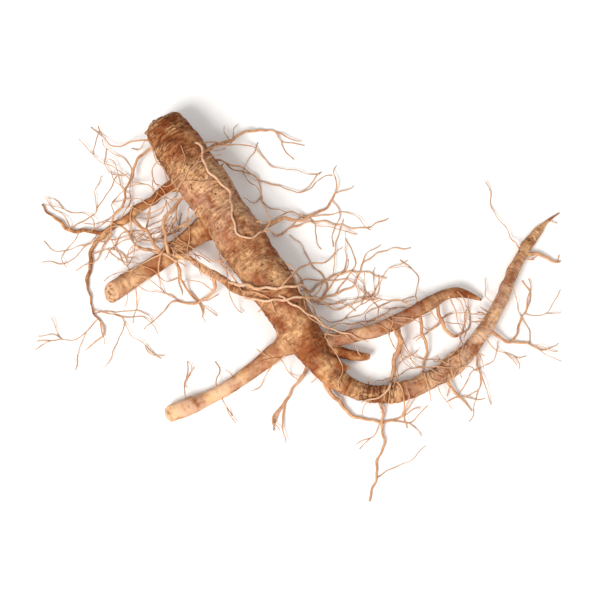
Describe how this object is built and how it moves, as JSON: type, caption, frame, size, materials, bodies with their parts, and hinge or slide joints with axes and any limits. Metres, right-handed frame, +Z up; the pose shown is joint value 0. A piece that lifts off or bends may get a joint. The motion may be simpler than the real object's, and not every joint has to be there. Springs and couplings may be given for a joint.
{
  "type": "ginseng root",
  "caption": "Dried ginseng root lying on a table: a stout tan body, a long curved tail, side prongs and thin rootlets.",
  "frame": {"origin": "under the middle of the root's outline, on the surface that it lies on", "axes": "+X from the prongs' ends towards the tail's end, +Y from the tail's bend towards the head end, +Z up"},
  "size_m": [0.1452, 0.109, 0.0145],
  "materials": {
    "dried_root_skin": "dry, matt, finely wrinkled tan root skin with darker pores and rings"
  },
  "bodies": {
    "root": {"ginseng_root": "dried_root_skin"}
  },
  "joints": []
}
